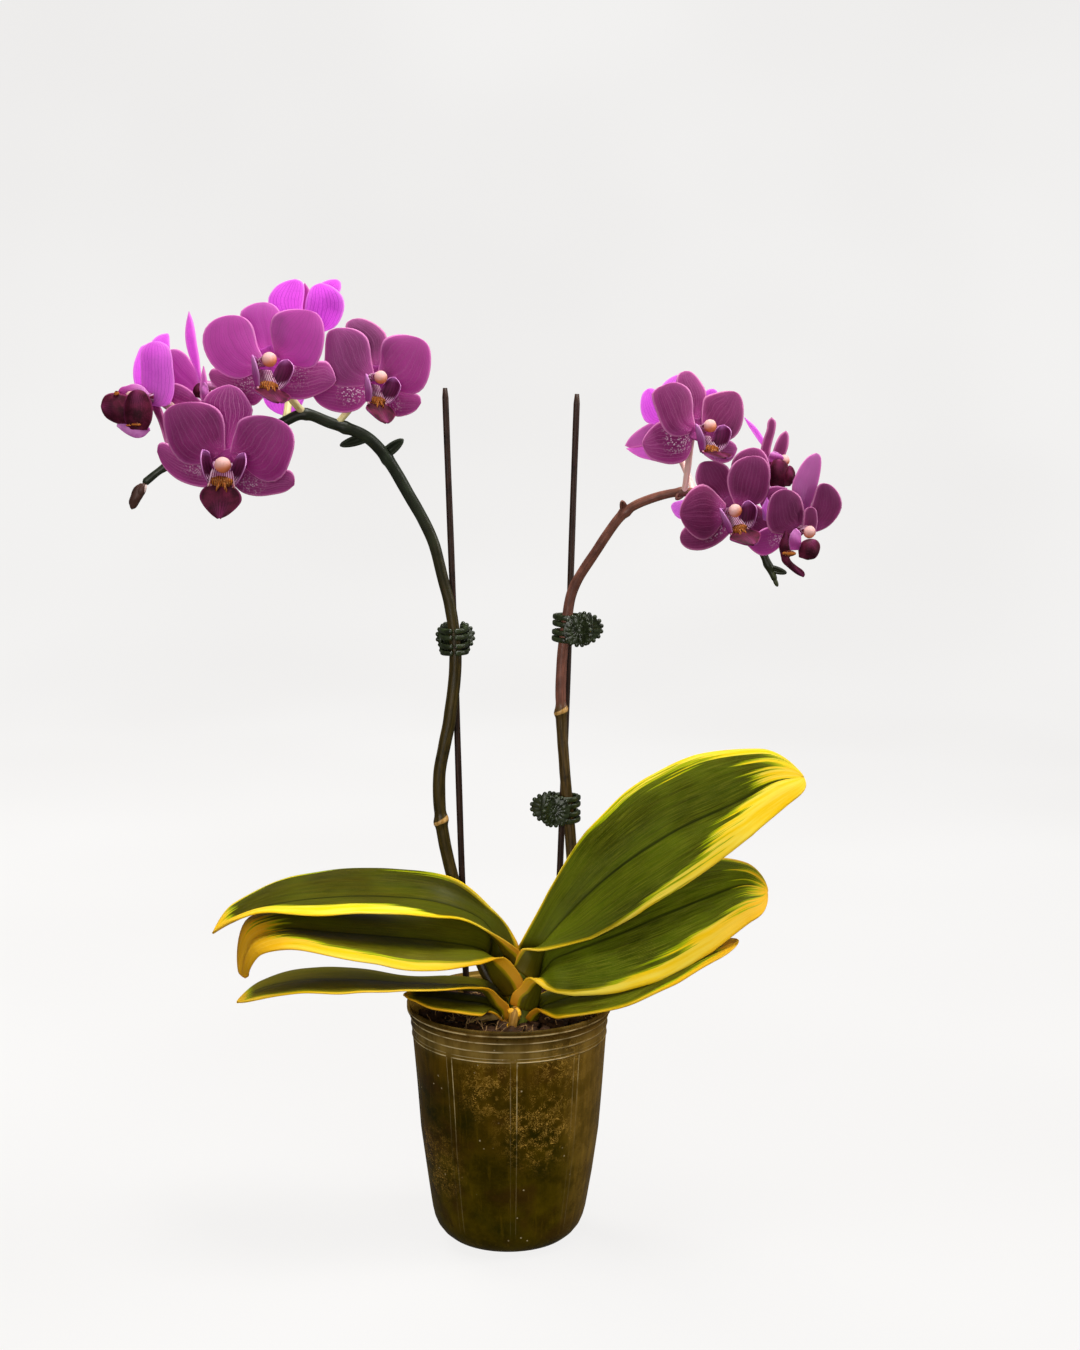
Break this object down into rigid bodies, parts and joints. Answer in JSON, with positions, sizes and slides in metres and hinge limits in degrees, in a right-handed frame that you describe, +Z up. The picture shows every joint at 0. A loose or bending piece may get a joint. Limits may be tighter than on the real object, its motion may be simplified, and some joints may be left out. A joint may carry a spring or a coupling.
{
  "type": "potted miniature moth orchid",
  "caption": "Two-spiked miniature moth orchid with purple flowers and variegated leaves in a thin tapered nursery pot, its spikes clipped to slim stakes.",
  "frame": {"origin": "middle of the pot's flat bottom, on the surface it stands on", "axes": "+Z up; +X towards the side of the tall leaf and the shorter spike; -Y the front, which the flowers face"},
  "size_m": [0.2996, 0.101, 0.4227],
  "materials": {
    "pot": "thin clear plastic, stained olive brown by wet bark behind it, satin",
    "medium": "damp pine bark chips and dry moss, rough",
    "crown": "leaf sheaths, yellow green, satin",
    "leaf": "thick waxy leaf, deep green with cream yellow margins, semi-gloss",
    "spike": "green brown flower stem, satin",
    "root": "spongy silver grey root skin, matt",
    "stake": "dark split cane, matt",
    "tepal": "thin velvety petal, purple with darker veins and a pale rim, matt",
    "lip": "dark wine lip with an orange spotted throat, satin",
    "clip": "moulded dark green plastic, satin",
    "metal": "bright spring wire"
  },
  "bodies": {
    "plant": {"pot": "pot", "stake_left": "stake", "stake_right": "stake", "crown_stem": "crown", "flower_spike_left": "spike", "flower_spike_right": "spike", "aerial_root_front": "root", "aerial_root_low": "root", "aerial_root_left": "root", "growing_medium": "medium", "leaf_right_upper": "leaf", "leaf_right_middle": "leaf", "leaf_right_lower": "leaf", "leaf_left_upper": "leaf", "leaf_left_middle": "leaf", "leaf_left_lower": "leaf", "leaf_left_lowest": "leaf", "flower_left_1_tepals": "tepal", "flower_left_2_tepals": "tepal", "flower_left_3_tepals": "tepal", "flower_left_4_tepals": "tepal", "flower_left_5_tepals": "tepal", "flower_left_6_tepals": "tepal", "flower_right_1_tepals": "tepal", "flower_right_2_tepals": "tepal", "flower_right_3_tepals": "tepal", "flower_right_4_tepals": "tepal", "flower_right_5_tepals": "tepal", "flower_right_6_tepals": "tepal", "flower_left_1_lip": "lip", "flower_left_2_lip": "lip", "flower_left_3_lip": "lip", "flower_left_4_lip": "lip", "flower_left_5_lip": "lip", "flower_left_6_lip": "lip", "flower_right_1_lip": "lip", "flower_right_2_lip": "lip", "flower_right_3_lip": "lip", "flower_right_4_lip": "lip", "flower_right_5_lip": "lip", "flower_right_6_lip": "lip", "clip_left_jaw_fixed": "clip", "clip_left_pin": "metal", "clip_left_spring": "metal", "clip_upper_jaw_fixed": "clip", "clip_upper_pin": "metal", "clip_upper_spring": "metal", "clip_lower_jaw_fixed": "clip", "clip_lower_pin": "metal", "clip_lower_spring": "metal"},
    "clip_left_jaw": {"clip_left_jaw_moving": "clip"},
    "clip_upper_jaw": {"clip_upper_jaw_moving": "clip"},
    "clip_lower_jaw": {"clip_lower_jaw_moving": "clip"}
  },
  "joints": [
    {"name": "clip_left_hinge", "type": "hinge", "parent": "plant", "child": "clip_left_jaw", "pos_m": [-0.0235, 0.0222, 0.2662], "axis": [-0.03, 0, 0.9996], "range_deg": [0, 35], "stiffness_Nm_per_rad": 0.012, "springref_deg": -34.38},
    {"name": "clip_upper_hinge", "type": "hinge", "parent": "plant", "child": "clip_upper_jaw", "pos_m": [0.0332, 0.0124, 0.2714], "axis": [0.0499, 0, 0.9988], "range_deg": [0, 35], "stiffness_Nm_per_rad": 0.012, "springref_deg": -34.38},
    {"name": "clip_lower_hinge", "type": "hinge", "parent": "plant", "child": "clip_lower_jaw", "pos_m": [0.0184, 0.0138, 0.1906], "axis": [0, 0, 1], "range_deg": [0, 35], "stiffness_Nm_per_rad": 0.012, "springref_deg": -34.38}
  ]
}
